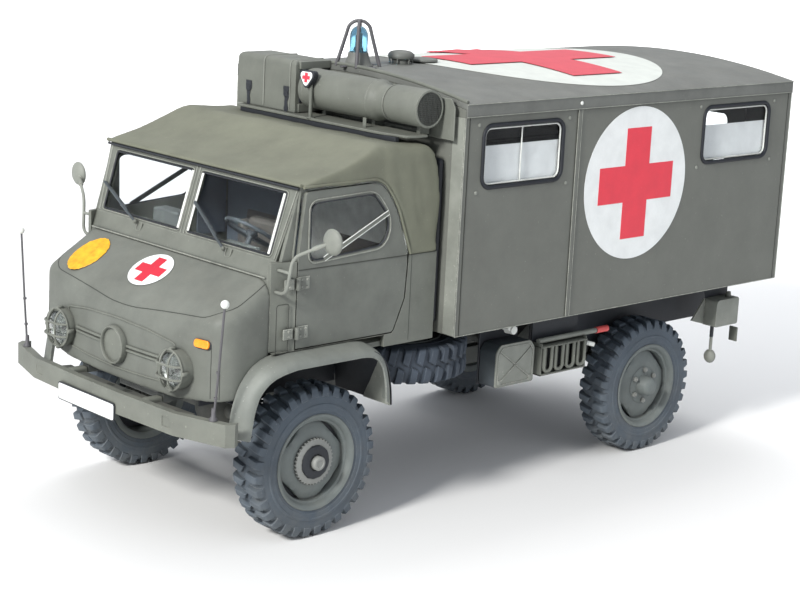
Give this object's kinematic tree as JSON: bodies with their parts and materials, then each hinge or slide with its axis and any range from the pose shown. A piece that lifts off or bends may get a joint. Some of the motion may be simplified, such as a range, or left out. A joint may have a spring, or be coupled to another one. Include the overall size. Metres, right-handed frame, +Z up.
{
  "type": "scale model of a military ambulance truck",
  "caption": "Plastic kit model of a military four-wheel-drive ambulance: soft-top cab, box body, rooftop heater and beacon, opening doors, rolling and steering wheels.",
  "frame": {"origin": "ground level, at the middle of the model's overall length and width", "axes": "+Z up, -Y to the front of the vehicle, +X to the vehicle's left side"},
  "size_m": [0.0732, 0.1422, 0.0814],
  "materials": {
    "olive_paint": "satin grey-olive paint on plastic",
    "soft_top_paint": "flat olive paint on a moulded soft top",
    "tyre_black": "matt dark grey",
    "seat_paint": "matt dark grey",
    "lamp_silver": "clear lens over silver",
    "clear_plastic": "clear moulded plastic",
    "blue_clear_plastic": "clear blue plastic"
  },
  "bodies": {
    "chassis": {"chassis_frame": "olive_paint", "front_axle": "olive_paint", "rear_axle": "olive_paint", "engine_gearbox": "olive_paint", "coil_springs": "olive_paint", "dampers": "olive_paint", "bumper": "olive_paint", "tow_coupling": "olive_paint", "width_markers": "olive_paint", "spare_wheel": "tyre_black", "fuel_tank": "olive_paint", "exhaust": "olive_paint", "side_racks": "olive_paint", "jerrycan": "olive_paint", "rear_lamps": "olive_paint", "cab_tub": "olive_paint", "nose_panel": "olive_paint", "bonnet": "olive_paint", "front_fenders": "olive_paint", "windscreen_frame": "olive_paint", "windscreen_glass": "clear_plastic", "canvas_top": "soft_top_paint", "dashboard": "olive_paint", "cab_seats": "seat_paint", "headlights": "lamp_silver", "mirrors": "olive_paint", "box_floor": "olive_paint", "box_subframe": "olive_paint", "box_front_wall": "olive_paint", "box_left_wall": "olive_paint", "box_right_wall": "olive_paint", "box_roof": "olive_paint", "box_rear_frame": "olive_paint", "box_windows": "clear_plastic", "stretcher_racks": "seat_paint", "stowage_box": "olive_paint", "heater_drum": "olive_paint", "equipment_tray": "olive_paint", "beacon_mount": "olive_paint", "beacon_dome": "blue_clear_plastic", "roof_vents": "olive_paint"},
    "knuckle_left": {"knuckle_left": "olive_paint"},
    "knuckle_right": {"knuckle_right": "olive_paint"},
    "tie_rod": {"tie_rod": "olive_paint"},
    "cab_door_left": {"cab_door_left": "olive_paint", "door_glass_left": "clear_plastic"},
    "cab_door_right": {"cab_door_right": "olive_paint", "door_glass_right": "clear_plastic"},
    "rear_door_left": {"rear_door_left": "olive_paint", "rear_glass_left": "clear_plastic"},
    "rear_door_right": {"rear_door_right": "olive_paint", "rear_glass_right": "clear_plastic"},
    "wheel_front_left": {"tyre_front_left": "tyre_black", "rim_front_left": "olive_paint"},
    "wheel_front_right": {"tyre_front_right": "tyre_black", "rim_front_right": "olive_paint"},
    "wheel_rear_left": {"tyre_rear_left": "tyre_black", "rim_rear_left": "olive_paint"},
    "wheel_rear_right": {"tyre_rear_right": "tyre_black", "rim_rear_right": "olive_paint"}
  },
  "joints": [
    {"name": "steer_left", "type": "hinge", "parent": "chassis", "child": "knuckle_left", "pos_m": [0.01686, -0.04621, 0.016], "axis": [0, 0, 1], "range_deg": [-25, 25]},
    {"name": "steer_right", "type": "hinge", "parent": "chassis", "child": "knuckle_right", "pos_m": [-0.01686, -0.04621, 0.016], "axis": [0, 0, 1], "range_deg": [-25, 25]},
    {"name": "tie_rod_pivot", "type": "hinge", "parent": "knuckle_left", "child": "tie_rod", "pos_m": [0.01686, -0.05279, 0.014], "axis": [0, 0, 1], "range_deg": [-25, 25]},
    {"name": "wheel_front_left_spin", "type": "hinge", "parent": "knuckle_left", "child": "wheel_front_left", "pos_m": [0.02329, -0.04621, 0.0128], "axis": [1, 0, 0], "continuous": true},
    {"name": "wheel_front_right_spin", "type": "hinge", "parent": "knuckle_right", "child": "wheel_front_right", "pos_m": [-0.02329, -0.04621, 0.0128], "axis": [1, 0, 0], "continuous": true},
    {"name": "wheel_rear_left_spin", "type": "hinge", "parent": "chassis", "child": "wheel_rear_left", "pos_m": [0.02329, 0.03664, 0.0128], "axis": [1, 0, 0], "continuous": true},
    {"name": "wheel_rear_right_spin", "type": "hinge", "parent": "chassis", "child": "wheel_rear_right", "pos_m": [-0.02329, 0.03664, 0.0128], "axis": [1, 0, 0], "continuous": true},
    {"name": "cab_door_left_hinge", "type": "hinge", "parent": "chassis", "child": "cab_door_left", "pos_m": [0.02703, -0.0519, 0.04286], "axis": [0, 0, -1], "range_deg": [0, 65]},
    {"name": "rear_door_left_hinge", "type": "hinge", "parent": "chassis", "child": "rear_door_left", "pos_m": [0.02045, 0.0697, 0.05], "axis": [0, 0, -1], "range_deg": [0, 100]},
    {"name": "cab_door_right_hinge", "type": "hinge", "parent": "chassis", "child": "cab_door_right", "pos_m": [-0.02703, -0.0519, 0.04286], "axis": [0, 0, 1], "range_deg": [0, 65]},
    {"name": "rear_door_right_hinge", "type": "hinge", "parent": "chassis", "child": "rear_door_right", "pos_m": [-0.02045, 0.0697, 0.05], "axis": [0, 0, 1], "range_deg": [0, 100]}
  ],
  "couplings": [
    {"joint": "steer_right", "follows": "steer_left", "ratio": 1},
    {"joint": "tie_rod_pivot", "follows": "steer_left", "ratio": -1}
  ]
}
